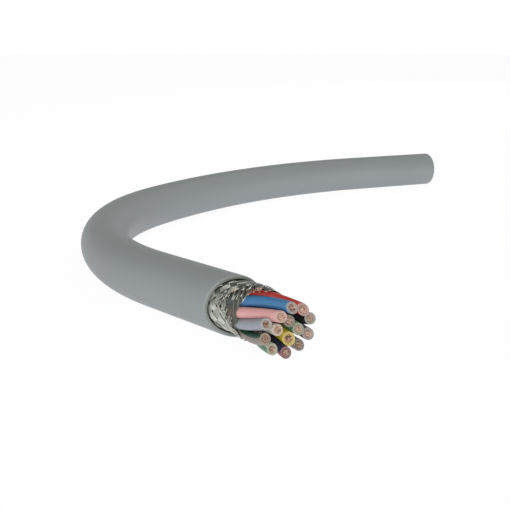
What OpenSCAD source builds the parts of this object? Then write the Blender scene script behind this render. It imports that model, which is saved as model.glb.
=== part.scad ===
// Folded length of shielded fourteen-core control cable, lying on its side and bent back on itself.
// One end is stripped in steps: jacket, braided shield, wrapping tape, then the splayed cores.
// Millimetres, Z up, the cable rests on Z = 0 and its box is centred on X and Y.

/* [Cores] */
// diameter of one insulated core
core_diameter = 1.9; // [1.2:0.05:2.6]
// diameter of the bunched copper conductor
conductor_diameter = 1.1; // [0.6:0.05:1.4]
// diameter of one copper strand
strand_diameter = 0.2; // [0.1:0.01:0.21]
// how far the cut strands stand out of the insulation
strand_proud = 0.12; // [0.05:0.01:0.5]
// air between neighbouring layers of the lay-up
lay_gap = 0.01; // [0.005:0.005:0.05]

/* [Sheath] */
// thickness of the clear wrapping tape
tape_thickness = 0.06; // [0.03:0.01:0.15]
// thickness of the braided shield
braid_thickness = 0.34; // [0.24:0.02:0.6]
// wall of the outer jacket
jacket_wall = 0.78; // [0.5:0.02:1.5]

/* [Route] */
// direction in which the cable runs back from its stripped end (degrees from X)
start_heading = 137.8; // [120:0.1:160]
// straight jacket between the stripped end and the fold
near_straight = 20.7; // [16:0.1:60]
// radius of the fold
fold_radius = 49.4; // [44:0.1:80]
// turn of the fold (degrees)
fold_angle = 79.27; // [60:0.01:90]
// radius of the easy bend after the fold
easy_radius = 122.3; // [90:0.1:200]
// turn of the easy bend (degrees)
easy_angle = 38.388; // [20:0.001:44]
// straight jacket at the far end
far_straight = 28.8; // [10:0.1:120]

/* [Stripped end] */
// slant of the jacket's cut, the tape's cut and the row of core ends (degrees)
cut_slant = 20; // [0:1:30]
// slant of the braid's cut (degrees)
braid_slant = 27; // [0:1:30]
// braid left showing past the jacket
braid_showing = 5.9; // [3:0.1:9]
// tape left showing past the jacket
tape_showing = 5.5; // [4:0.1:6]
// reach of the core ends past the jacket
core_reach = 12.4; // [11:0.1:20]
// how far the outer cores spread from the lay-up
core_spread = 0.52; // [0.3:0.01:0.6]
// how far the inner cores spread from the lay-up
inner_spread = 0.27; // [0.1:0.01:0.3]
// sag of the bundle at the core ends
core_sag = 0.65; // [0:0.05:0.65]
// sideways lean of the bundle at the core ends
core_lean = 0.3; // [0:0.05:0.6]
// turn of the lay between the tape and the core ends (degrees)
lay_turn = 25; // [0:1:25]

/* [Braid] */
// bands of wire that wind each way
braid_bands = 12; // [8:1:12]
// wires side by side in one band
band_wires = 4; // [3:1:4]
// share of the braid that the bands cover
band_cover = 0.78; // [0.6:0.01:0.84]
// angle between a band and the cable (degrees)
braid_angle = 45; // [35:1:55]

/* [Hidden] */
$fn = 72;
core_r = core_diameter / 2;
conductor_r = conductor_diameter / 2;
// four cores in the middle, ten round them
inner_ring = core_r * sqrt(2) + lay_gap;
outer_ring = inner_ring + core_diameter + lay_gap;
bundle_r = outer_ring + core_r + lay_gap;
tape_r = bundle_r + tape_thickness;
braid_r = tape_r + braid_thickness;
jacket_r = braid_r + jacket_wall;
slant = tan(cut_slant);
braid_lean = tan(braid_slant);
// lay angle of the first core of each layer inside the cable
inner_phase = 5 - lay_turn;
outer_phase = 26 - lay_turn;
INNER = ["white", "brown", "green", "yellow"];
OUTER = ["grey", "pink", "blue", "red", "black", "violet", "grey_pink", "red_blue",
  "white_green", "brown_green"];
CORES = concat(INNER, OUTER);
SHADES = ["whitesmoke", "saddlebrown", "seagreen", "gold", "slategray", "lightpink", "steelblue",
  "firebrick", "dimgray", "mediumpurple", "thistle", "crimson", "darkseagreen", "olivedrab"];
// place of core i across the cable, [left, up], inside the lay-up and at its free end
function is_inner(i) = i < len(INNER);
function lay_angle(i) = is_inner(i) ? inner_phase + 90 * i : outer_phase + 36 * (i - len(INNER));
function on_ring(r, a) = [r * cos(a), r * sin(a)];
function laid(i) = on_ring(is_inner(i) ? inner_ring : outer_ring, lay_angle(i));
function freed(i) = on_ring(is_inner(i) ? inner_ring + inner_spread : outer_ring + core_spread,
  lay_angle(i) + lay_turn) + [core_lean, -core_sag];
// where the cores start to bend and where core i ends, measured out from the jacket's cut
function neat(x) = round(x * 1000) / 1000;
bend_start = neat(tape_showing - 0.2);
function tip_reach(i) = core_reach - slant * freed(i)[0];
function drift(i) = freed(i) - laid(i);
// the way core i bends, to the nearest angle whose cosine and sine are short decimals
function short(x) = let (p = pow(10, 5 - floor(log(max(abs(x), 1e-6))))) round(x * p) / p;
function misfit(a) = abs(pow(short(cos(a)), 2) + pow(short(sin(a)), 2) - 1);
function short_angle(a) = let (near = [for (k = [-40:40]) a + k / 100],
  misfits = [for (b = near) misfit(b)]) near[search(min(misfits), misfits)[0]];
function drift_angle(i) = short_angle(atan2(drift(i)[1], drift(i)[0]));
// each free end is one arc, from the lay-up to the core's end
function run_out(i) = tip_reach(i) - bend_start;
function tip_turn(i) = neat(2 * atan(norm(drift(i)) / run_out(i)));
function tip_radius(i) = neat(run_out(i) / sin(tip_turn(i)));
// the route on the floor: ends of its pieces seen from the jacket's cut
function ahead(a) = [cos(a), sin(a)];
function aside(a) = [sin(a), -cos(a)];
fold_centre = ahead(start_heading) * near_straight + aside(start_heading) * fold_radius;
easy_heading = start_heading - fold_angle;
easy_centre = fold_centre - aside(easy_heading) * (fold_radius - easy_radius);
far_heading = easy_heading - easy_angle;
far_end = easy_centre - aside(far_heading) * easy_radius + ahead(far_heading) * far_straight;
// the box of the whole cable, so that it can be centred
function tip_y(i) = let (t = tip_turn(i), d = drift_angle(i),
  along = -cos(t) * sin(start_heading) + sin(t) * cos(d) * cos(start_heading))
  -tip_reach(i) * sin(start_heading) + freed(i)[0] * cos(start_heading)
  - core_r * sqrt(1 - along * along);
low_y = min([for (i = [0:len(CORES) - 1]) tip_y(i)]);
high_y = far_end[1] + jacket_r * cos(far_heading);
low_x = fold_centre[0] - fold_radius - jacket_r;
high_x = far_end[0] + jacket_r * sin(far_heading);
cut_point = [-(low_x + high_x) / 2, -(low_y + high_y) / 2, jacket_r];

// the jacket's cut, looking back along the cable: X ahead, Y left, Z up
module at_cut() {
  translate(cut_point) rotate([0, 0, start_heading]) children();
}

// a straight piece of the run, its profile drawn as [left, up]
module straight(length) {
  rotate([90, 0, 90]) linear_extrude(length) children();
}

// a bend to the right, from straight ahead, about a centre on the right
module bend(radius, angle) {
  rotate_extrude(angle = angle, start = 90 - angle) translate([radius, 0]) children();
}

// the run behind the near straight: fold, easy bend and far straight
module bends() {
  translate([near_straight, -fold_radius, 0]) {
    bend(fold_radius, fold_angle) children();
    rotate([0, 0, -fold_angle]) translate([0, fold_radius - easy_radius, 0]) {
      bend(easy_radius, easy_angle) children();
      rotate([0, 0, -easy_angle]) translate([0, easy_radius, 0])
        straight(far_straight) children();
    }
  }
}

// the near straight, reaching out past the jacket's cut and trimmed on the slant
module slanted_lead(reach) {
  spare = 2 * jacket_r;
  trim = 8 * jacket_r;
  difference() {
    translate([-reach - spare, 0, 0]) straight(reach + spare + near_straight) children();
    translate([-reach, 0, 0]) rotate([0, 0, -cut_slant])
      translate([-trim, -trim / 2, -trim / 2]) cube(trim);
  }
}

module ring(outside, inside) {
  difference() {
    circle(r = outside);
    circle(r = inside);
  }
}

// the place where core i leaves the lay-up, turned so that it bends towards Y
module at_bend(i) {
  translate([-bend_start, laid(i)[0], laid(i)[1]]) rotate([drift_angle(i), 0, 0]) children();
}

// one core's run, from its free end to the far end of the cable
module core_run(i) {
  at_cut() {
    at_bend(i) translate([0, tip_radius(i), 0])
      rotate_extrude(angle = tip_turn(i), start = -90 - tip_turn(i))
        translate([tip_radius(i), 0]) children();
    translate([-bend_start, 0, 0]) straight(bend_start + near_straight)
      translate(laid(i)) children();
    bends() translate(laid(i)) children();
  }
}

// the cut strands that stand out of a free end: one, six and twelve
module strand_ends(i) {
  at_cut() at_bend(i) translate([0, tip_radius(i), 0]) rotate([0, 0, -tip_turn(i)])
    translate([-strand_proud, -tip_radius(i), 0])
      for (layer = [0:2]) for (k = [0:max(1, 6 * layer) - 1])
        rotate([60 / max(1, layer) * k, 0, 0])
          translate([0, layer * (conductor_r - strand_diameter / 2) / 2.1, 0])
            straight(2 * strand_proud) circle(d = strand_diameter, $fn = 24);
}

module insulation(i) {
  color(SHADES[i]) core_run(i) ring(core_r, conductor_r);
}

module conductor(i) {
  color("peru") {
    core_run(i) circle(r = conductor_r);
    strand_ends(i);
  }
}

module outer_jacket() {
  color("darkgray") at_cut() {
    slanted_lead(0) ring(jacket_r, braid_r);
    bends() ring(jacket_r, braid_r);
  }
}

module wrapping_tape() {
  color("lightgray") at_cut() {
    slanted_lead(tape_showing) ring(tape_r, bundle_r);
    bends() ring(tape_r, bundle_r);
  }
}

// the woven end of the shield: bands that wind both ways and pass over and under in turn
braid_mid = (tape_r + braid_r) / 2;
band_thick = braid_thickness * 0.44;
band_swing = braid_thickness * 0.25;
band_step = 360 / braid_bands;
band_half = band_step * band_cover / 2;
// degrees of turn for each millimetre along the cable
band_rate = 180 / PI * tan(braid_angle) / braid_mid;
// the plain braid under the jacket starts well behind the deepest point of the jacket's cut
braid_root = neat(jacket_r * slant + 2.2);
first_cross = ceil(2 * (band_half - band_rate * (braid_root - 0.02)) / band_step);
function last_cross(turn, k) = let (a = band_step * k + turn * band_rate * braid_showing,
  reach = braid_showing - braid_lean * braid_mid * cos(a))
  floor(2 * band_rate * reach / band_step - 0.5);
// one cross-section of a band: [place across, height], wires on top and a flat back
function band_section() = concat(
  [for (w = [0:2 * band_wires]) [band_half * (w / band_wires - 1),
    band_thick * (w % 2 == 1 ? 0.5 : 0.2)]],
  [[band_half, -band_thick / 2], [-band_half, -band_thick / 2]]);
SECTION = band_section();
// a point of band k: turn is 1 or -1, cross is counted along the band, edge is -1 or 1
function band_point(turn, k, cross, edge, p) =
  let (own = turn * band_step * k + p[0], other = own + band_step * cross + edge * band_half
    - p[0],
    v = (other - own) / (2 * band_rate),
    a = turn * (own + other) / 2,
    over = (cross % 2 == 0 ? 1 : -1) * turn,
    r = braid_mid + over * band_swing + p[1])
  [-v, r * cos(a), r * sin(a)];
BANDS = [for (turn = [1, -1]) for (k = [0:braid_bands - 1]) [turn, k]];
STATIONS = [for (b = BANDS) [for (c = [first_cross:last_cross(b[0], b[1])]) for (e = [-1, 1])
  [b[0], b[1], c, e]]];
m = len(SECTION);
// the end of a band: a ridge for each wire on a flat back
CAP = concat([for (w = [0:2:2 * band_wires - 2]) each [[w, w + 1, w + 2], [w, w + 2, m - 1]]],
  [[m - 3, m - 2, m - 1]]);
function shell_start(b) = b == 0 ? 0 : shell_start(b - 1) + len(STATIONS[b - 1]) * m;

module woven_end() {
  points = [for (s = STATIONS) for (q = s) for (p = SECTION)
    band_point(q[0], q[1], q[2], q[3], p)];
  faces = [for (b = [0:len(BANDS) - 1])
    let (o = shell_start(b), n = len(STATIONS[b]), way = BANDS[b][0])
    for (f = concat(
      [for (c = CAP) [o + c[0], o + c[1], o + c[2]]],
      [for (c = CAP) [o + (n - 1) * m + c[2], o + (n - 1) * m + c[1], o + (n - 1) * m + c[0]]],
      [for (s = [0:n - 2]) for (j = [0:m - 1]) let (a = o + s * m + j, c = o + s * m + (j + 1) % m)
        each [[a, a + m, c], [c, a + m, c + m]]]))
      way < 0 ? f : [f[2], f[1], f[0]]];
  polyhedron(points = points, faces = faces, convexity = 10);
}

module braided_shield() {
  color("silver") at_cut() {
    translate([braid_root, 0, 0]) straight(near_straight - braid_root) ring(braid_r, tape_r);
    bends() ring(braid_r, tape_r);
    woven_end();
  }
}

outer_jacket();
braided_shield();
wrapping_tape();
insulation(0);  // insulation_white
insulation(1);  // insulation_brown
insulation(2);  // insulation_green
insulation(3);  // insulation_yellow
insulation(4);  // insulation_grey
insulation(5);  // insulation_pink
insulation(6);  // insulation_blue
insulation(7);  // insulation_red
insulation(8);  // insulation_black
insulation(9);  // insulation_violet
insulation(10);  // insulation_grey_pink
insulation(11);  // insulation_red_blue
insulation(12);  // insulation_white_green
insulation(13);  // insulation_brown_green
conductor(0);  // conductor_white
conductor(1);  // conductor_brown
conductor(2);  // conductor_green
conductor(3);  // conductor_yellow
conductor(4);  // conductor_grey
conductor(5);  // conductor_pink
conductor(6);  // conductor_blue
conductor(7);  // conductor_red
conductor(8);  // conductor_black
conductor(9);  // conductor_violet
conductor(10);  // conductor_grey_pink
conductor(11);  // conductor_red_blue
conductor(12);  // conductor_white_green
conductor(13);  // conductor_brown_green
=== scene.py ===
import math
import random

import bpy
import numpy as np
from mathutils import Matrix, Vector

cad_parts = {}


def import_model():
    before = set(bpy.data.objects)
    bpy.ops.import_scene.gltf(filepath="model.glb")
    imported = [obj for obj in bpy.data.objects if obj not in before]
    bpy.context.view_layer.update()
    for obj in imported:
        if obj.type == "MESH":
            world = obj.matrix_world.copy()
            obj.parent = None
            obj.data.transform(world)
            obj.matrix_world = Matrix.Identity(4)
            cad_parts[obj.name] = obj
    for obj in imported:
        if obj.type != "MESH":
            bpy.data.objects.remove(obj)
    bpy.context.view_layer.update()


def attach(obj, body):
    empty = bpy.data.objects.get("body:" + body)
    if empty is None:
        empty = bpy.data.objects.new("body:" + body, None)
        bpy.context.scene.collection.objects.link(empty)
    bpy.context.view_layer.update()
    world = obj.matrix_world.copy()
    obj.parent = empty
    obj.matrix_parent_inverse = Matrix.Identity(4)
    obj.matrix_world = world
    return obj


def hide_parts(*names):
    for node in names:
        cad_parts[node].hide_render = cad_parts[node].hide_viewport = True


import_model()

MM = 0.001


def neat(size):
    """A worked-out size, to a tenth of a micron."""
    return round(size, 4)


# sizes across the cable in millimetres: four cores in the middle, ten round them, film, braid, jacket
CORE_R = 0.95
CONDUCTOR_R = 0.51
STRAND_R = 0.084
LAY_GAP = 0.01
FILM_ROOM, BRAID_WALL, JACKET_WALL = 0.06, 0.34, 0.78
INNER_RING = neat(CORE_R * math.sqrt(2) + LAY_GAP)
OUTER_RING = neat(INNER_RING + 2 * CORE_R + LAY_GAP)
BUNDLE_R = neat(OUTER_RING + CORE_R + LAY_GAP)
FILM_R = neat(BUNDLE_R + FILM_ROOM)
BRAID_R = neat(FILM_R + BRAID_WALL)
JACKET_R = neat(BRAID_R + JACKET_WALL)

# route on the floor, from the jacket's cut to the far end, with headings in degrees from X
CUT_POINT = np.array([-14.9281, -65.7234, JACKET_R])
START_HEADING = 137.8
NEAR_STRAIGHT = 20.7
FOLD_RADIUS, FOLD_ANGLE = 49.4, 79.27
EASY_RADIUS, EASY_ANGLE = 122.3, 38.388
FAR_STRAIGHT = 28.8
EASY_START = NEAR_STRAIGHT + FOLD_RADIUS * math.radians(FOLD_ANGLE)
FAR_START = EASY_START + EASY_RADIUS * math.radians(EASY_ANGLE)
FAR_CUT = FAR_START + FAR_STRAIGHT
BENDS = ((NEAR_STRAIGHT, EASY_START, FOLD_RADIUS), (EASY_START, FAR_START, EASY_RADIUS))


def ahead(heading):
    """One step on the floor in the way of a heading."""
    return np.array([math.cos(heading), math.sin(heading)])


def right_of(heading):
    """One step on the floor to the right of a heading."""
    return np.array([math.sin(heading), -math.cos(heading)])


def route(s):
    """Middle of the cable s millimetres behind the jacket's cut, and the way it runs there."""
    heading = math.radians(START_HEADING)
    at = CUT_POINT[:2] + ahead(heading) * min(s, NEAR_STRAIGHT)
    for start, end, radius in BENDS:
        turn = (min(max(s, start), end) - start) / radius
        centre = at + right_of(heading) * radius
        heading -= turn
        at = centre - right_of(heading) * radius
    return at + ahead(heading) * max(s - FAR_START, 0), heading


def place(s, left, up):
    """A point s behind the cut, that far to the left of the middle and above it, in metres."""
    at, heading = route(s)
    return ((at[0] - math.sin(heading) * left) * MM, (at[1] + math.cos(heading) * left) * MM,
            (CUT_POINT[2] + up) * MM)


def run_stations(first, step):
    """Places along the cable from first to the far cut, with one at both ends of each bend."""
    marks = [first, NEAR_STRAIGHT, EASY_START, FAR_START, FAR_CUT]
    found = [first]
    for a, b in zip(marks[:-1], marks[1:]):
        n = max(2, round((b - a) / step))
        found += [a + (b - a) * (k + 1) / n for k in range(n)]
    return found


class Skin:
    """Points and faces of one piece, gathered ring by ring."""

    def __init__(self):
        self.points, self.faces, self.finish, self.smooth = [], [], [], []

    def rings(self, rings, finish=0, caps=(None, None), loop=False):
        """Joins rings of equal length. Finish is one number, or a list with one for each row of
        faces, where a row may have one for each face. Caps are the finishes of the two ends."""
        base, n = len(self.points), len(rings[0])
        for ring in rings:
            self.points.extend(ring)
        last = len(rings) if loop else len(rings) - 1
        for k in range(last):
            a, b = base + k * n, base + (k + 1) % len(rings) * n
            row = finish[k] if isinstance(finish, list) else finish
            for j in range(n):
                i = (j + 1) % n
                self.faces.append((a + j, a + i, b + i, b + j))
                self.finish.append(row[j] if isinstance(row, list) else row)
                self.smooth.append(True)
        first = tuple(base + j for j in reversed(range(n)))
        end = tuple(base + (len(rings) - 1) * n + j for j in range(n))
        for face, cap in zip((first, end), caps):
            if cap is not None:
                self.faces.append(face)
                self.finish.append(cap)
                self.smooth.append(False)

    def piece(self, name, finishes):
        """The gathered faces as one object, with its finishes in the order of their numbers."""
        mesh = bpy.data.meshes.new(name)
        mesh.from_pydata(self.points, [], self.faces)
        for finish in finishes:
            mesh.materials.append(finish)
        mesh.polygons.foreach_set("material_index", self.finish)
        mesh.polygons.foreach_set("use_smooth", self.smooth)
        mesh.update()
        obj = bpy.data.objects.new(name, mesh)
        bpy.context.scene.collection.objects.link(obj)
        return obj


def circle(n, phase=0.0):
    """Directions of n points round a circle, each as its cosine and sine."""
    turns = [2 * math.pi * j / n + phase for j in range(n)]
    return [(math.cos(a), math.sin(a)) for a in turns]


# finishes
def srgb(r, g, b):
    """A colour as it looks, from 0 to 255, turned into the shader's own linear values."""
    linear = []
    for c in (r, g, b):
        share = c / 255
        linear.append(share / 12.92 if c <= 10 else ((share + 0.055) / 1.055) ** 2.4)
    return (*linear, 1.0)


def fill(node, values):
    """Sets sockets of a node that are the same all over."""
    for key, value in values.items():
        node.inputs[key].default_value = value


def math_node(nodes, operation):
    """A new node for one sum."""
    node = nodes.new("ShaderNodeMath")
    node.operation = operation
    return node


SKIN_INPUTS = (
    ("Colour", "NodeSocketColor", (0.3, 0.3, 0.3, 1)),
    ("Patch", "NodeSocketFloat", 0.05),
    ("Patch Scale", "NodeSocketFloat", 60.0),
    ("Grain Scale", "NodeSocketFloat", 900.0),
    ("Gloss Low", "NodeSocketFloat", 0.4),
    ("Gloss High", "NodeSocketFloat", 0.5),
)
SKIN_OUTPUTS = (
    ("Colour", "NodeSocketColor"),
    ("Roughness", "NodeSocketFloat"),
    ("Height", "NodeSocketFloat"),
)


def extruded_skin():
    """Soft patches of lighter and darker colour, and a fine uneven skin, as on extruded plastic."""
    group = bpy.data.node_groups.new("extruded_skin", "ShaderNodeTree")
    for name, kind, value in SKIN_INPUTS:
        group.interface.new_socket(name, in_out="INPUT", socket_type=kind).default_value = value
    for name, kind in SKIN_OUTPUTS:
        group.interface.new_socket(name, in_out="OUTPUT", socket_type=kind)
    nodes, link = group.nodes, group.links.new
    given, out = nodes.new("NodeGroupInput"), nodes.new("NodeGroupOutput")
    coord = nodes.new("ShaderNodeTexCoord")
    patch, grain = nodes.new("ShaderNodeTexNoise"), nodes.new("ShaderNodeTexNoise")
    fill(patch, {"Detail": 3})
    fill(grain, {"Detail": 2})
    for noise, scale in ((patch, "Patch Scale"), (grain, "Grain Scale")):
        link(coord.outputs["Object"], noise.inputs["Vector"])
        link(given.outputs[scale], noise.inputs["Scale"])
    centred = math_node(nodes, "SUBTRACT")
    fill(centred, {1: 0.5})
    link(patch.outputs["Fac"], centred.inputs[0])
    shade = math_node(nodes, "MULTIPLY_ADD")
    fill(shade, {2: 1.0})
    link(centred.outputs[0], shade.inputs[0])
    link(given.outputs["Patch"], shade.inputs[1])
    tint = nodes.new("ShaderNodeVectorMath")
    tint.operation = "SCALE"
    link(given.outputs["Colour"], tint.inputs[0])
    link(shade.outputs[0], tint.inputs["Scale"])
    link(tint.outputs[0], out.inputs["Colour"])
    gloss = nodes.new("ShaderNodeMapRange")
    link(patch.outputs["Fac"], gloss.inputs["Value"])
    link(given.outputs["Gloss Low"], gloss.inputs["To Min"])
    link(given.outputs["Gloss High"], gloss.inputs["To Max"])
    link(gloss.outputs[0], out.inputs["Roughness"])
    link(grain.outputs["Fac"], out.inputs["Height"])
    return group


EXTRUDED_SKIN = extruded_skin()


def finish_of(name, colour, patch, gloss, bump, patch_scale=150.0, grain_scale=2500.0, metallic=0.0,
              grain_depth=0.00003):
    """One finish: its own colour and gloss, with the patches and fine skin of the shared group."""
    material = bpy.data.materials.new(name)
    material.use_nodes = True
    nodes, link = material.node_tree.nodes, material.node_tree.links.new
    shader = nodes["Principled BSDF"]
    skin = nodes.new("ShaderNodeGroup")
    skin.node_tree = EXTRUDED_SKIN
    fill(skin, {"Colour": colour, "Patch": patch, "Patch Scale": patch_scale, "Grain Scale": grain_scale,
                "Gloss Low": gloss[0], "Gloss High": gloss[1]})
    link(skin.outputs["Colour"], shader.inputs["Base Color"])
    link(skin.outputs["Roughness"], shader.inputs["Roughness"])
    relief = nodes.new("ShaderNodeBump")
    fill(relief, {"Strength": bump, "Distance": grain_depth})
    link(skin.outputs["Height"], relief.inputs["Height"])
    link(relief.outputs["Normal"], shader.inputs["Normal"])
    fill(shader, {"Metallic": metallic})
    material.diffuse_color = colour
    return material


def wire_metal(name, colour, patch_scale, gloss, metallic):
    """Drawn wire: uneven tones along and round it."""
    return finish_of(name, colour, patch=0.9, patch_scale=patch_scale, grain_scale=6000.0, gloss=gloss,
                     bump=0.1, metallic=metallic)


def core_plastic(name, colour):
    """Smooth skin of a core."""
    return finish_of(name, srgb(*colour), patch=0.1, gloss=(0.3, 0.42), bump=0.06)


def cut_plastic(name, colour):
    """Dull face that the cutter left on a core."""
    return finish_of(name, srgb(*colour), patch=0.3, patch_scale=1500.0, gloss=(0.5, 0.65), bump=0.3)


def film_finish():
    """Thin clear film: streaks round the cable, some milky and some nearly clear. Its colour is lighter
    in some streaks: painted highlights.
    """
    material = finish_of("clear_film", srgb(112, 115, 104), patch=0.4, patch_scale=500.0,
                         grain_scale=1500.0, gloss=(0.1, 0.25), bump=0.2, grain_depth=0.0001)
    nodes, link = material.node_tree.nodes, material.node_tree.links.new
    shader = nodes["Principled BSDF"]
    coord, turn = nodes.new("ShaderNodeTexCoord"), nodes.new("ShaderNodeMapping")
    # narrow along the cable and long round it
    fill(turn, {"Rotation": (0, 0, -math.radians(START_HEADING)), "Scale": (1700.0, 110.0, 110.0)})
    streak, clear = nodes.new("ShaderNodeTexNoise"), nodes.new("ShaderNodeMapRange")
    fill(streak, {"Scale": 1.0, "Detail": 2.0})
    fill(clear, {"From Min": 0.36, "From Max": 0.66, "To Min": 0.4, "To Max": 0.88})
    link(coord.outputs["Object"], turn.inputs["Vector"])
    link(turn.outputs["Vector"], streak.inputs["Vector"])
    link(streak.outputs["Fac"], clear.inputs["Value"])
    link(clear.outputs[0], shader.inputs["Alpha"])
    # the lighter colour in some streaks is a painted highlight; the dark tone is the film's own colour
    painted_highlight, tone = nodes.new("ShaderNodeMapRange"), nodes.new("ShaderNodeMix")
    tone.data_type = "RGBA"
    fill(painted_highlight, {"From Min": 0.54, "From Max": 0.66})
    fill(tone, {"A": srgb(98, 101, 88), "B": srgb(170, 172, 160)})
    link(streak.outputs["Fac"], painted_highlight.inputs["Value"])
    link(painted_highlight.outputs[0], tone.inputs["Factor"])
    link(tone.outputs["Result"], shader.inputs["Base Color"])
    return material


JACKET_PVC = finish_of("jacket_grey_pvc", srgb(146, 151, 150), patch=0.08, patch_scale=40.0,
                       grain_scale=3000.0, gloss=(0.42, 0.55), bump=0.12)
# the cut face is the same grey PVC; its darker colour is painted shade on the rim and in the mouth
JACKET_CUT_SHADE = finish_of("jacket_cut_face_painted_shade", srgb(126, 131, 125), patch=0.2, patch_scale=900.0,
                       grain_scale=5000.0, gloss=(0.5, 0.65), bump=0.3)
# the bore is the same grey PVC as the outside; its darker colour is painted shade, for the shade inside
# the jacket
JACKET_BORE_SHADE = finish_of("jacket_bore_painted_shade", srgb(84, 86, 84), patch=0.25, patch_scale=700.0,
                        grain_scale=5000.0, gloss=(0.6, 0.75), bump=0.3)
TINNED_WIRE = wire_metal("tinned_wire", srgb(192, 195, 186), 420.0, (0.28, 0.5), 1.0)
COPPER_WIRE = wire_metal("bare_copper", srgb(206, 173, 154), 2600.0, (0.3, 0.5), 0.65)
COPPER_DULL = wire_metal("dull_copper", srgb(150, 112, 92), 2600.0, (0.4, 0.6), 0.65)
CLEAR_FILM = film_finish()

# jacket: one tube with a rounded rim, cut on a slant that dies out behind the rim
CUT_SLANT = math.tan(math.radians(20))
SLANT_LENGTH = 14
# how much longer the rim is underneath
LOW_LIP = 1.7
JACKET_SIDES = 96
# the two rims: back from the cut and in from the outside
RIM = ((0.0, 0.36), (0.02, 0.25), (0.08, 0.14), (0.19, 0.06), (0.34, 0.015), (0.55, 0.0))
FAR_RIM = ((0.12, 0.0), (0.03, 0.04), (0.0, 0.12))
# the bore's mouths at the far and the near cut: back from the cut and out from the bore
FAR_MOUTH = ((0.0, 0.05), (0.06, 0.0))
MOUTH = ((2.2, 0.03), (1.2, 0.05), (0.5, 0.07), (0.16, 0.1), (0.04, 0.17))
OUTSIDE_START, OUTSIDE_STEP = 1.5, 1.6
BORE_START, BORE_STEP = 3.2, 3.2
# rows of faces on the near cut that take the darker cut finish, which is painted shade: the first ones of
# the rim and the last ones of the mouth
RIM_FACES, MOUTH_FACES = 2, 2


def jacket_ring(s, r):
    """Points round the jacket, s behind its cut, that lean with the cut."""
    lean = max(0.0, 1 - s / SLANT_LENGTH)
    found = []
    for c, d in circle(JACKET_SIDES):
        back = CUT_SLANT * r * c - LOW_LIP * max(0.0, -d) ** 2
        found.append(place(s + back * lean, r * c, r * d))
    return found


def jacket():
    """The jacket's tube, from the near rim along the outside and back through the bore."""
    plain, cut, bore_shade = 0, 1, 2
    outside = [(back, JACKET_R - inset) for back, inset in RIM]
    outside += [(s, JACKET_R) for s in run_stations(OUTSIDE_START, OUTSIDE_STEP)[:-1]]
    outside += [(FAR_CUT - back, JACKET_R - inset) for back, inset in FAR_RIM]
    inside = [(FAR_CUT - back, BRAID_R + wide) for back, wide in FAR_MOUTH]
    inside += [(s, BRAID_R) for s in reversed(run_stations(BORE_START, BORE_STEP)[:-1])]
    inside += [(back, BRAID_R + wide) for back, wide in MOUTH]
    finish = [cut] * RIM_FACES + [plain] * (len(outside) - RIM_FACES - 1) + [cut]
    finish += [bore_shade] * (len(inside) - MOUTH_FACES) + [cut] * MOUTH_FACES
    skin = Skin()
    skin.rings([jacket_ring(s, r) for s, r in outside + inside], finish=finish, loop=True)
    return skin.piece("jacket_tube", [JACKET_PVC, JACKET_CUT_SHADE, JACKET_BORE_SHADE])


jacket_tube = jacket()
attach(jacket_tube, "root")
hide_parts("outer_jacket")

# cores: name, colour, second colour and the side it faces (degrees), colour of the cut face
CORES = [
    ("white", (222, 218, 205), None, 0, (188, 174, 152)),
    ("brown", (92, 66, 52), None, 0, (130, 120, 104)),
    ("green", (86, 136, 100), None, 0, (146, 150, 126)),
    ("yellow", (210, 190, 50), None, 0, (194, 174, 98)),
    ("grey", (153, 157, 163), None, 0, (162, 157, 148)),
    ("pink", (216, 161, 157), None, 0, (194, 160, 146)),
    ("blue", (64, 120, 164), None, 0, (154, 150, 140)),
    ("red", (184, 56, 50), None, 0, (172, 140, 128)),
    ("black", (32, 33, 34), None, 0, (150, 149, 138)),
    ("violet", (98, 80, 104), None, 0, (149, 140, 133)),
    ("grey_pink", (134, 136, 144), (190, 142, 142), 250, (126, 118, 110)),
    ("red_blue", (150, 46, 58), (48, 52, 78), 95, (128, 98, 96)),
    ("white_green", (205, 208, 196), (80, 128, 94), 300, (164, 164, 140)),
    ("brown_green", (142, 129, 118), (38, 80, 58), 112, (150, 133, 112)),
]
INNER_COUNT = 4
# degrees: place of the first core and step to the next, in the middle and round it
INNER_FIRST, INNER_STEP = 5, 90
OUTER_FIRST, OUTER_STEP = 26, 36
# where the cores leave the lay, out from the cut, degrees of lay per millimetre, turn of the free ends
LAY_START, LAY_RATE, FREE_TURN = 3.8, 4.5, 50
# free end of each core: left and up of the cable's middle, and reach past the jacket's cut
FREE_ENDS = {
    "white": (2.08, -0.62, 11.6), "brown": (0.19, 0.57, 12.4), "green": (-1.5, -1.2, 12.95),
    "yellow": (0.25, -2.54, 12.4), "grey": (4.1, 0.85, 10.95), "pink": (1.96, 1.77, 12.2),
    "blue": (-0.4, 2.68, 12.5), "red": (-2.36, 1.99, 13.2), "black": (-3.62, 0.25, 13.7),
    "violet": (-3.27, -2.42, 13.6), "grey_pink": (-1.68, -4.05, 12.95), "red_blue": (1.5, -4.41, 12.85),
    "white_green": (3.1, -3.72, 11.35), "brown_green": (4.26, -1.64, 10.85),
}
FREE_STEPS = 18
# the laid stretch starts this far behind the free one, with wider steps
LAID_OFF, LAID_STEP = 0.4, 3.0
# the lowest cores spread as soon as they leave the film, the others late
SPREAD = {"violet": 0.8, "grey_pink": 0.7, "red_blue": 0.8, "white_green": 0.6, "brown_green": 0.4}
LATE_SPREAD = 1.1
# above one, a core takes its turn early
EARLY_TURN = {"green": 1.3, "black": 1.6, "violet": 1.5, "grey_pink": 1.6, "red_blue": 1.2,
              "white_green": 1.3, "brown_green": 0.8}
# how far the far cores sag two thirds of the way to their ends, and the factor that makes it so
SAG = {"black": 0.62, "grey_pink": 0.1}
SAG_FACTOR = 27 / 4
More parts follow.
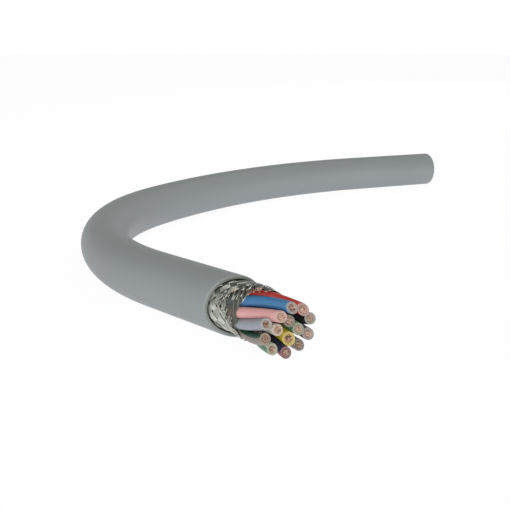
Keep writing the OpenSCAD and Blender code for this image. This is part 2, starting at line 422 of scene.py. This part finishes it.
# how much thicker a core is at its cut end
SWOLLEN = {"yellow": 0.17, "green": 0.06, "violet": 0.06, "black": 0.05}
SLIGHTLY_SWOLLEN = 0.02
# how much wider the strands of a core lie at its cut end, as a share, and over how many steps
SPLAYED = {"yellow": 0.3}
SPLAY_STEPS = 6
# the way the cut faces of the free ends look, how far each follows its core, and how much they differ
CUTTER_FACING = (0.38, -0.84, 0.39)
CUTTER_LEAN, CUTTER_SCATTER = 0.28, 0.09
FAR_FACING = np.array([*ahead(route(FAR_CUT)[1]), 0.0])


def lay_angle(i, s):
    """Turn of core i round the cable's middle, s behind the jacket's cut."""
    inner = i < INNER_COUNT
    first = INNER_FIRST + INNER_STEP * i if inner else OUTER_FIRST + OUTER_STEP * (i - INNER_COUNT)
    return math.radians(first - FREE_TURN - LAY_RATE * (s + LAY_START))


def lay_ring(i):
    """Radius of the layer that core i lies in."""
    return INNER_RING if i < INNER_COUNT else OUTER_RING


def core_line(i):
    """Middle of core i: places behind the cut, left and up, from its free end to the far cut."""
    name, r = CORES[i][0], lay_ring(i)
    left, up, tip = FREE_ENDS[name]
    first, last = lay_angle(i, -LAY_START), math.atan2(up, left)
    last += 2 * math.pi * round((first + math.radians(FREE_TURN) - last) / (2 * math.pi))
    line = []
    for k in range(FREE_STEPS):
        t = 1 - k / (FREE_STEPS - 1)
        a = first + (last - first) * (1 - (1 - t) ** EARLY_TURN.get(name, 1.0))
        rho = r + (math.hypot(left, up) - r) * t ** SPREAD.get(name, LATE_SPREAD)
        sag = SAG.get(name, 0.0) * SAG_FACTOR * t * t * (1 - t)
        line.append((-(LAY_START + (tip - LAY_START) * t), rho * math.cos(a), rho * math.sin(a) - sag))
    for s in run_stations(-LAY_START + LAID_OFF, LAID_STEP):
        a = lay_angle(i, s)
        line.append((s, r * math.cos(a), r * math.sin(a)))
    return line


def frames_along(line):
    """World points of a line, the way it runs and two directions across it at each point."""
    points = np.array([place(*p) for p in line])
    tangents = np.gradient(points, axis=0)
    tangents /= np.linalg.norm(tangents, axis=1)[:, None]
    ups = np.tile([0.0, 0.0, 1.0], (len(points), 1))
    ups -= tangents * (ups * tangents).sum(1)[:, None]
    ups /= np.linalg.norm(ups, axis=1)[:, None]
    lefts = np.cross(ups, tangents)
    return points, tangents, lefts, ups


def bore(name, k):
    """Radius that the strands of a core fill, k steps from its cut end."""
    return CONDUCTOR_R * (1 + SPLAYED.get(name, 0.0) * max(0.0, 1 - k / SPLAY_STEPS))


CORE_SIDES = 32
# cosine from the middle of the second colour at which it ends
STRIPE_EDGE = 0.05
# cut end of a core: in from its side and back from the cut, first on its face, then on its edge
TIP_SWELL = 0.01
TIP_FACE, TIP_EDGE = ((0.13, 0.0), (0.05, 0.02)), ((0.01, 0.07), (0.0, 0.16))
# mouth of its bore: out from the bore and back from the cut
BORE_MOUTH = ((0.01, 0.3), (0.04, 0.03))
FAR_ROUND, FAR_BORE_ROUND = 0.05, 0.02
CORE_SEED = 40


def core(i):
    """Insulation of core i, and the way its free end was cut."""
    name, colour, stripe, facing, face = CORES[i]
    plain, striped, cut = 0, 1, 2
    chance = random.Random(CORE_SEED + i)
    points, tangents, lefts, ups = frames_along(core_line(i))
    scatter = [chance.uniform(-CUTTER_SCATTER, CUTTER_SCATTER) for _ in range(3)]
    cutter = np.array(CUTTER_FACING) - CUTTER_LEAN * tangents[0] + scatter
    last = len(points) - 1
    facing_at = {0: cutter, last: FAR_FACING}

    def ring(k, r, back):
        found = []
        for c, d in circle(CORE_SIDES):
            across = (lefts[k] * c + ups[k] * d) * r
            lean = -across @ facing_at[k] / (tangents[k] @ facing_at[k]) if k in facing_at else 0.0
            found.append(tuple(points[k] + (tangents[k] * (back + lean) + across) * MM))
        return found

    side = [plain] * CORE_SIDES
    if stripe is not None:
        turns = [2 * math.pi * (j + 0.5) / CORE_SIDES - math.radians(facing) for j in range(CORE_SIDES)]
        side = [plain if math.cos(a) < STRIPE_EDGE else striped for a in turns]
    swell = SWOLLEN.get(name, SLIGHTLY_SWOLLEN)
    free_r = [CORE_R + swell * max(0.0, 1 - k / FREE_STEPS) for k in range(last + 1)]
    tip_r = free_r[0] + TIP_SWELL
    # the ring next to the slanted cut is left out, so that the two don't cross
    rows = [(0, tip_r - inset, back, cut) for inset, back in TIP_FACE]
    rows += [(0, tip_r - inset, back, side) for inset, back in TIP_EDGE]
    rows += [(k, free_r[k], 0.0, side) for k in range(2, last)]
    rows += [(last, CORE_R, -FAR_ROUND, cut), (last, CORE_R - FAR_ROUND, 0.0, cut)]
    rows += [(last, CONDUCTOR_R + FAR_BORE_ROUND, 0.0, cut), (last, CONDUCTOR_R, -FAR_ROUND, side)]
    rows += [(k, bore(name, k), 0.0, side) for k in reversed(range(2, last))]
    rows += [(0, bore(name, 0) + wide, back, cut) for wide, back in BORE_MOUTH]
    skin = Skin()
    skin.rings([ring(k, r, back) for k, r, back, _ in rows], finish=[row[3] for row in rows], loop=True)
    main = core_plastic("core_" + name, colour)
    second = main if stripe is None else core_plastic("core_" + name + "_stripe", stripe)
    piece = skin.piece(name + "_core", [main, second, cut_plastic("cut_" + name, face)])
    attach(piece, "root")
    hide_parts("insulation_" + name)
    return piece, cutter


# strands of a core: one in the middle, then six and twelve round it
STRAND_LAYERS, STRAND_SIDES = 3, 7
STRAND_ROOM = 1.03
LAYER_STEP = (CONDUCTOR_R - STRAND_R) / ((STRAND_LAYERS - 1) * STRAND_ROOM)
# radians that the strands turn in one step of the free end
STRAND_TWIST = 0.05
# how far a strand stands out of the core's face, or lies behind it; the share of that at the far cut
STRAND_PROUD, PROUD_SCATTER, FAR_PROUD = 0.05, (-0.2, 0.12), 0.5
# how far strands are off their places, in millimetres from the middle and radians round it
STRAND_WANDER, PHASE_WANDER = 0.012, 0.07
DULL_SHARE = 0.3
STRAND_SEED = 100


def strands(i, cutter):
    """The bunched copper strands of core i, each a wire of its own."""
    name = CORES[i][0]
    chance = random.Random(STRAND_SEED + i)
    points, tangents, lefts, ups = frames_along(core_line(i))
    last = len(points) - 1

    def strand(rho, phase, proud):
        rings = []
        for j in range(last + 1):
            a = phase + STRAND_TWIST * min(j, FREE_STEPS)
            wide = rho * bore(name, j) / CONDUCTOR_R
            at = points[j] + (lefts[j] * math.cos(a) + ups[j] * math.sin(a)) * wide * MM
            ring = []
            for c, d in circle(STRAND_SIDES, phase):
                across = (lefts[j] * c + ups[j] * d) * STRAND_R
                off_middle = (at - points[j]) / MM + across
                back = 0.0
                if j == 0:
                    back = -off_middle @ cutter / (tangents[j] @ cutter) - proud
                elif j == last:
                    back = -off_middle @ FAR_FACING / (tangents[j] @ FAR_FACING) + FAR_PROUD * abs(proud)
                ring.append(tuple(at + (tangents[j] * back + across) * MM))
            rings.append(ring)
        return rings

    skin = Skin()
    for layer in range(STRAND_LAYERS):
        count = max(1, 6 * layer)
        for k in range(count):
            proud = STRAND_PROUD + chance.uniform(*PROUD_SCATTER)
            rho = layer * LAYER_STEP + chance.uniform(-STRAND_WANDER, STRAND_WANDER)
            phase = 2 * math.pi * k / count + chance.uniform(-PHASE_WANDER, PHASE_WANDER)
            shade = 1 if chance.random() < DULL_SHARE else 0
            skin.rings(strand(rho, phase, proud), finish=shade, caps=(shade, shade))
    piece = skin.piece(name + "_strands", [COPPER_WIRE, COPPER_DULL])
    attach(piece, "root")
    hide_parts("conductor_" + name)


cut_cores = [core(i) for i in range(len(CORES))]
for i, (piece, cutter) in enumerate(cut_cores):
    strands(i, cutter)

# clear film, pulled tight over the ten outer cores: how far it reaches past the jacket's cut
FILM_REACH = 4.3
FILM_GAP, FILM_WALL = 0.005, 0.03
# each turn of the film lies on the last one by a small step
FILM_LAP, LAP_STEP = 1.7, 0.007
# length over which its edge is uneven, and the close rings there
EDGE_LENGTH = 1.6
CLOSE_STEP, CLOSE_COUNT = 0.13, 40
# the wider rings start this far behind them
WIDE_OFF, WIDE_STEP = 0.8, 3.0


def film_section(s, off):
    """The film's outline, off the cores by that much: an arc on each outer core, then a flat span."""
    outline = []
    half_step = math.radians(OUTER_STEP / 2)
    for i in range(INNER_COUNT, len(CORES)):
        a = lay_angle(i, s)
        for k in range(-2, 3):
            n = a + math.radians(OUTER_STEP / 4 * k)
            outline.append((OUTER_RING * math.cos(a) + (CORE_R + off) * math.cos(n),
                            OUTER_RING * math.sin(a) + (CORE_R + off) * math.sin(n)))
        middle = a + half_step
        flat = OUTER_RING * math.cos(half_step) + CORE_R + off
        outline.append((flat * math.cos(middle), flat * math.sin(middle)))
    return outline


def film_edge(a):
    """How far back the film's uneven edge lies, at an angle round the cable."""
    return 0.16 * math.sin(5 * a) + 0.12 * math.sin(3 * a + 1) - 0.35 * math.cos(a - 0.6)


def film():
    """The film as one tube with a wall, outside first and back along the inside."""

    def ring(s, off):
        found = []
        for y, z in film_section(s, off):
            a = math.atan2(z, y)
            back = film_edge(a) * max(0.0, 1 - (s + FILM_REACH) / EDGE_LENGTH)
            lap = 1 + LAP_STEP * ((s / FILM_LAP + a / (2 * math.pi)) % 1.0)
            found.append(place(s + back, y * lap, z * lap))
        return found

    close = [-FILM_REACH + CLOSE_STEP * k for k in range(CLOSE_COUNT)]
    stations = close + run_stations(close[-1] + WIDE_OFF, WIDE_STEP)
    rows = [ring(s, FILM_GAP + FILM_WALL) for s in stations]
    rows += [ring(s, FILM_GAP) for s in reversed(stations)]
    skin = Skin()
    skin.rings(rows, loop=True)
    piece = skin.piece("wrapping_film", [CLEAR_FILM])
    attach(piece, "root")
    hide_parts("wrapping_tape")
    return piece


wrapping_film = film()

# braid: bands of tinned wires that wind both ways, over and under in turn
BRAID_BANDS, BAND_WIRES, BAND_COVER = 12, 7, 0.72
BRAID_MID, BRAID_ANGLE = 4.39, 50
WIRE_R, WIRE_SIDES, WIRE_STEP = 0.08, 6, 0.16
WIRE_SWING, SWING_SHAPE = 0.088, 0.6
BAND_STEP = 360 / BRAID_BANDS
BAND_HALF = BAND_STEP * BAND_COVER / 2
# degrees round the cable in one millimetre along it
BAND_RATE = 180 / math.pi * math.tan(math.radians(BRAID_ANGLE)) / BRAID_MID
# how far the woven wires go on under the jacket, and the woven rings at the far cut
WOVEN_UNDER = 3.6
FAR_WOVEN_STEP, FAR_WOVEN_COUNT, FAR_WOVEN_PROUD = 0.14, 15, 0.03
# plain tube between the two woven ends
TUBE_LAP, TUBE_STEP, TUBE_SHORT, TUBE_SIDES = 0.1, 3.4, 1.2, 64
# the braid stands off the cores along the top and opens out at the bottom
TOP_LIFT, LIFT_LENGTH = 0.4, 8.6
LOW_FLARE, FLARE_START = 0.2, 2.2
# its bands open past this reach, less on the far side
OPEN_START, OPEN_RATE, FAR_OPEN = 2, 0.12, 0.3
# cosine round the cable above which a band or a wire is on the near side
NEAR_BAND, NEAR_WIRE = 0.3, 0.15
# scatter in degrees: a band's shift, a wire's place in its band and its drift where the band opens
BAND_SHIFT, WIRE_SHIFT, WIRE_DRIFT = 5, 0.5, 1
# a band's shift grows from here, out from the jacket's cut, and is full after this length
SHIFT_START, SHIFT_LENGTH = -1, 4
# trim of a wire's end, and the few that were left longer
TRIM, LONG_SHARE, LONGER = (-0.5, 0.12), 0.1, (0.1, 0.4)
# loose end of a wire: its length, how far it stands out, and degrees to the side; less on the far side
LOOSE_LENGTH, FRAY_OUT, FRAY_SIDE, FAR_FRAY = 1.1, (-0.06, 0.3), 12, 0.1
# degrees round the cable between which the end shows bare copper tips, and the share of wires there
TIPS_FROM, TIPS_TO, TIP_SHARE = 52, 88, 0.5
BRAID_SEED = 7
# reach of the braid's end past the jacket's cut, round the cable from underneath over its left side
BRAID_END = [
    (-90, 4.8), (-60, 4.3), (-25, 3.6), (-5, 3.2), (5, 2.4), (14, 1.2), (26, 0.7), (36, 0.9), (45, 1.7),
    (53, 2.9), (60, 4.2), (68, 5.8), (78, 7.0), (90, 7.6), (130, 7.8), (180, 7.2), (225, 6.0), (270, 4.8),
]


def braid_end(a):
    """Reach of the braid's end at an angle round the cable."""
    angles, reaches = zip(*BRAID_END)
    return float(np.interp((math.degrees(a) + 90) % 360 - 90, angles, reaches))


def over_under(turn, across, v):
    """How far a wire swings out of the middle of the braid, v past the jacket's cut."""
    wave = math.cos(math.pi * (2 * BAND_RATE * v + across) / BAND_STEP)
    return WIRE_SWING * turn * math.copysign(abs(wave) ** SWING_SHAPE, wave)


def braid_lift(base, v):
    """How far the braid stands off at the angle base round the cable, v past the jacket's cut."""
    along = math.sin(math.pi * min(max(v, 0.0) / LIFT_LENGTH, 1.0))
    lift = TOP_LIFT * max(0.0, math.sin(base)) * along
    return lift + LOW_FLARE * max(0.0, -math.sin(base)) * max(0.0, v - FLARE_START)


def wire_line(turn, k, across, shift, chance):
    """Middle of one wire in band k, as places behind the jacket's cut, left and up."""
    trim = chance.uniform(*TRIM)
    if chance.random() < LONG_SHARE:
        trim += chance.uniform(*LONGER)
    fray_out = chance.uniform(*FRAY_OUT)
    fray_side = chance.uniform(-FRAY_SIDE, FRAY_SIDE)
    drift = chance.uniform(-WIRE_DRIFT, WIRE_DRIFT)
    line, v = [], -WOVEN_UNDER
    while True:
        base = math.radians(BAND_STEP * k + turn * BAND_RATE * v)
        opened = max(0.0, v - OPEN_START) * (1 if math.cos(base) > NEAR_BAND else FAR_OPEN)
        spread = across * (1 + OPEN_RATE * opened) + drift * opened
        shifted = shift * max(0.0, v - SHIFT_START) / SHIFT_LENGTH
        a = math.radians(BAND_STEP * k + turn * (spread + BAND_RATE * v) + shifted)
        near_side = 1 if math.cos(a) > NEAR_WIRE else FAR_FRAY
        limit = braid_end(a) + trim * near_side
        loose = max(0.0, 1 - (limit - v) / LOOSE_LENGTH) ** 2 * near_side
        r = BRAID_MID + over_under(turn, across, v) + fray_out * loose + braid_lift(base, v)
        a += math.radians(fray_side) * loose
        line.append((-v, r * math.cos(a), r * math.sin(a)))
        if v >= limit:
            return line
        v += WIRE_STEP


def far_wire_line(turn, k, across):
    """The same wire where it shows in the far cut."""
    line = []
    for j in range(FAR_WOVEN_COUNT):
        v = -FAR_CUT + FAR_WOVEN_STEP * j - FAR_WOVEN_PROUD
        a = math.radians(BAND_STEP * k + turn * (across + BAND_RATE * v))
        r = BRAID_MID + over_under(turn, across, v)
        line.append((-v, r * math.cos(a), r * math.sin(a)))
    return line


def braid():
    """The woven wires of both ends, and the plain tube between them."""
    tinned, copper = 0, 1
    chance = random.Random(BRAID_SEED)
    skin = Skin()

    def wire(line, tip):
        points, _, lefts, ups = frames_along(line)
        rings = [[tuple(p + (l * c + u * d) * WIRE_R * MM) for c, d in circle(WIRE_SIDES)]
                 for p, l, u in zip(points, lefts, ups)]
        skin.rings(rings, finish=[tinned] * (len(rings) - 3) + [tip] * 2, caps=(copper, copper))

    for turn in (1, -1):
        for k in range(BRAID_BANDS):
            shift = chance.uniform(-BAND_SHIFT, BAND_SHIFT)
            for w in range(BAND_WIRES):
                across = BAND_HALF * (2 * (w + 0.5) / BAND_WIRES - 1)
                across += chance.uniform(-WIRE_SHIFT, WIRE_SHIFT)
                line = wire_line(turn, k, across, shift, chance)
                end = math.degrees(math.atan2(line[-1][2], line[-1][1]))
                bare = TIPS_FROM < end < TIPS_TO and chance.random() < TIP_SHARE
                wire(line, copper if bare else tinned)
                wire(far_wire_line(turn, k, across), tinned)
    tube_end = FAR_CUT - TUBE_SHORT
    stations = [s for s in run_stations(WOVEN_UNDER - TUBE_LAP, TUBE_STEP) if s < tube_end] + [tube_end]
    tube = []
    for r, along in ((BRAID_R, stations), (FILM_R, stations[::-1])):
        tube += [[place(s, r * c, r * d) for c, d in circle(TUBE_SIDES)] for s in along]
    skin.rings(tube, finish=tinned, loop=True)
    piece = skin.piece("woven_braid", [TINNED_WIRE, COPPER_WIRE])
    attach(piece, "root")
    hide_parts("braided_shield")
    return piece


woven_braid = braid()

PATH_STEP = 6.0
cable_path = [place(s, 0, 0) for s in run_stations(0, PATH_STEP)]
place(0, 0, 0)

# floor, light and camera, in metres and watts
scene = bpy.context.scene
scene.view_settings.view_transform = "Standard"
WHITE = (1, 1, 1, 1)
FLOOR_HALF = 3
# how much of what the camera sees of the floor is plain white; the rest shows the shadow
FLOOR_WHITE = 0.94
SKY_LIGHT = 0.3


def backdrop_rays(nodes, link):
    """Full where the camera, a reflection or a clear piece looks at the white studio."""
    seen = nodes.new("ShaderNodeLightPath")
    mirrored = math_node(nodes, "MAXIMUM")
    link(seen.outputs["Is Camera Ray"], mirrored.inputs[0])
    link(seen.outputs["Is Glossy Ray"], mirrored.inputs[1])
    looked_through = math_node(nodes, "MAXIMUM")
    link(mirrored.outputs[0], looked_through.inputs[0])
    link(seen.outputs["Is Transmission Ray"], looked_through.inputs[1])
    return looked_through.outputs[0]


def floor_finish():
    """Pale floor that looks white and keeps a faint shadow. It also glows faintly lavender, which lights
    the cable from below.
    """
    material = bpy.data.materials.new("pale_floor")
    material.use_nodes = True
    nodes, link = material.node_tree.nodes, material.node_tree.links.new
    shader = nodes["Principled BSDF"]
    # the emission here is a faint lavender glow of the floor itself, which lights the cable from below
    # like a light table
    fill(shader, {"Base Color": (0.84, 0.84, 0.93, 1), "Roughness": 0.9, "Specular IOR Level": 0.1,
                  "Emission Color": (0.88, 0.88, 1.0, 1), "Emission Strength": 0.36})
    glow = nodes.new("ShaderNodeEmission")
    fill(glow, {"Color": WHITE, "Strength": 1.0})
    share = math_node(nodes, "MULTIPLY")
    fill(share, {1: FLOOR_WHITE})
    mix = nodes.new("ShaderNodeMixShader")
    link(backdrop_rays(nodes, link), share.inputs[0])
    link(share.outputs[0], mix.inputs["Fac"])
    link(shader.outputs["BSDF"], mix.inputs[1])
    link(glow.outputs["Emission"], mix.inputs[2])
    link(mix.outputs["Shader"], nodes["Material Output"].inputs["Surface"])
    return material


def floor():
    """One flat square under the cable."""
    corners = [(x * FLOOR_HALF, y * FLOOR_HALF, 0) for x, y in ((-1, -1), (1, -1), (1, 1), (-1, 1))]
    mesh = bpy.data.meshes.new("floor")
    mesh.from_pydata(corners, [], [(0, 1, 2, 3)])
    mesh.materials.append(floor_finish())
    obj = bpy.data.objects.new("floor", mesh)
    scene.collection.objects.link(obj)


floor()


def world():
    """White studio. Seen in the metal, it is bright round the sides and dimmer overhead."""
    surroundings = bpy.data.worlds.new("studio")
    scene.world = surroundings
    surroundings.use_nodes = True
    nodes, link = surroundings.node_tree.nodes, surroundings.node_tree.links.new
    sky, bright = nodes["Background"], nodes.new("ShaderNodeBackground")
    fill(sky, {"Color": WHITE, "Strength": SKY_LIGHT})
    fill(bright, {"Color": WHITE})
    coord, split = nodes.new("ShaderNodeTexCoord"), nodes.new("ShaderNodeSeparateXYZ")
    fade = nodes.new("ShaderNodeMapRange")
    fill(fade, {"From Min": 0.06, "From Max": 0.5, "To Min": 1.0, "To Max": 0.1})
    link(coord.outputs["Generated"], split.inputs[0])
    link(split.outputs["Z"], fade.inputs["Value"])
    link(fade.outputs[0], bright.inputs["Strength"])
    mix = nodes.new("ShaderNodeMixShader")
    link(backdrop_rays(nodes, link), mix.inputs["Fac"])
    link(sky.outputs[0], mix.inputs[1])
    link(bright.outputs[0], mix.inputs[2])
    link(mix.outputs[0], nodes["World Output"].inputs["Surface"])


world()


def soft_lamp(name, at, look_at, size, watts):
    """A round soft lamp that faces a point."""
    data = bpy.data.lights.new(name, "AREA")
    data.shape = "DISK"
    data.size = size
    data.energy = watts
    lamp = bpy.data.objects.new(name, data)
    lamp.location = at
    direction = np.array(look_at) - np.array(at)
    lamp.rotation_euler = Vector(direction).to_track_quat("-Z", "Y").to_euler()
    scene.collection.objects.link(lamp)
    return lamp


soft_lamp("key_lamp", at=(-0.2, -0.45, 0.55), look_at=(0, 0, 0), size=0.5, watts=1.1)
back_lamp = soft_lamp("back_lamp", at=(0.3, 0.5, 0.45), look_at=(0.03, 0.05, 0), size=0.6, watts=1.5)
back_lamp.visible_glossy = False
soft_lamp("front_lamp", at=(0.1, -0.6, 0.12), look_at=(0, 0, 0.01), size=0.5, watts=2.0)

view = bpy.data.cameras.new("camera")
view.lens = 49.41
view.sensor_width = 36
view.clip_start = 0.005
camera = bpy.data.objects.new("camera", view)
camera.location = (-0.011406, -0.178641, 0.04868)
camera.rotation_euler = (math.radians(73.149), 0, 0)
scene.collection.objects.link(camera)
scene.camera = camera
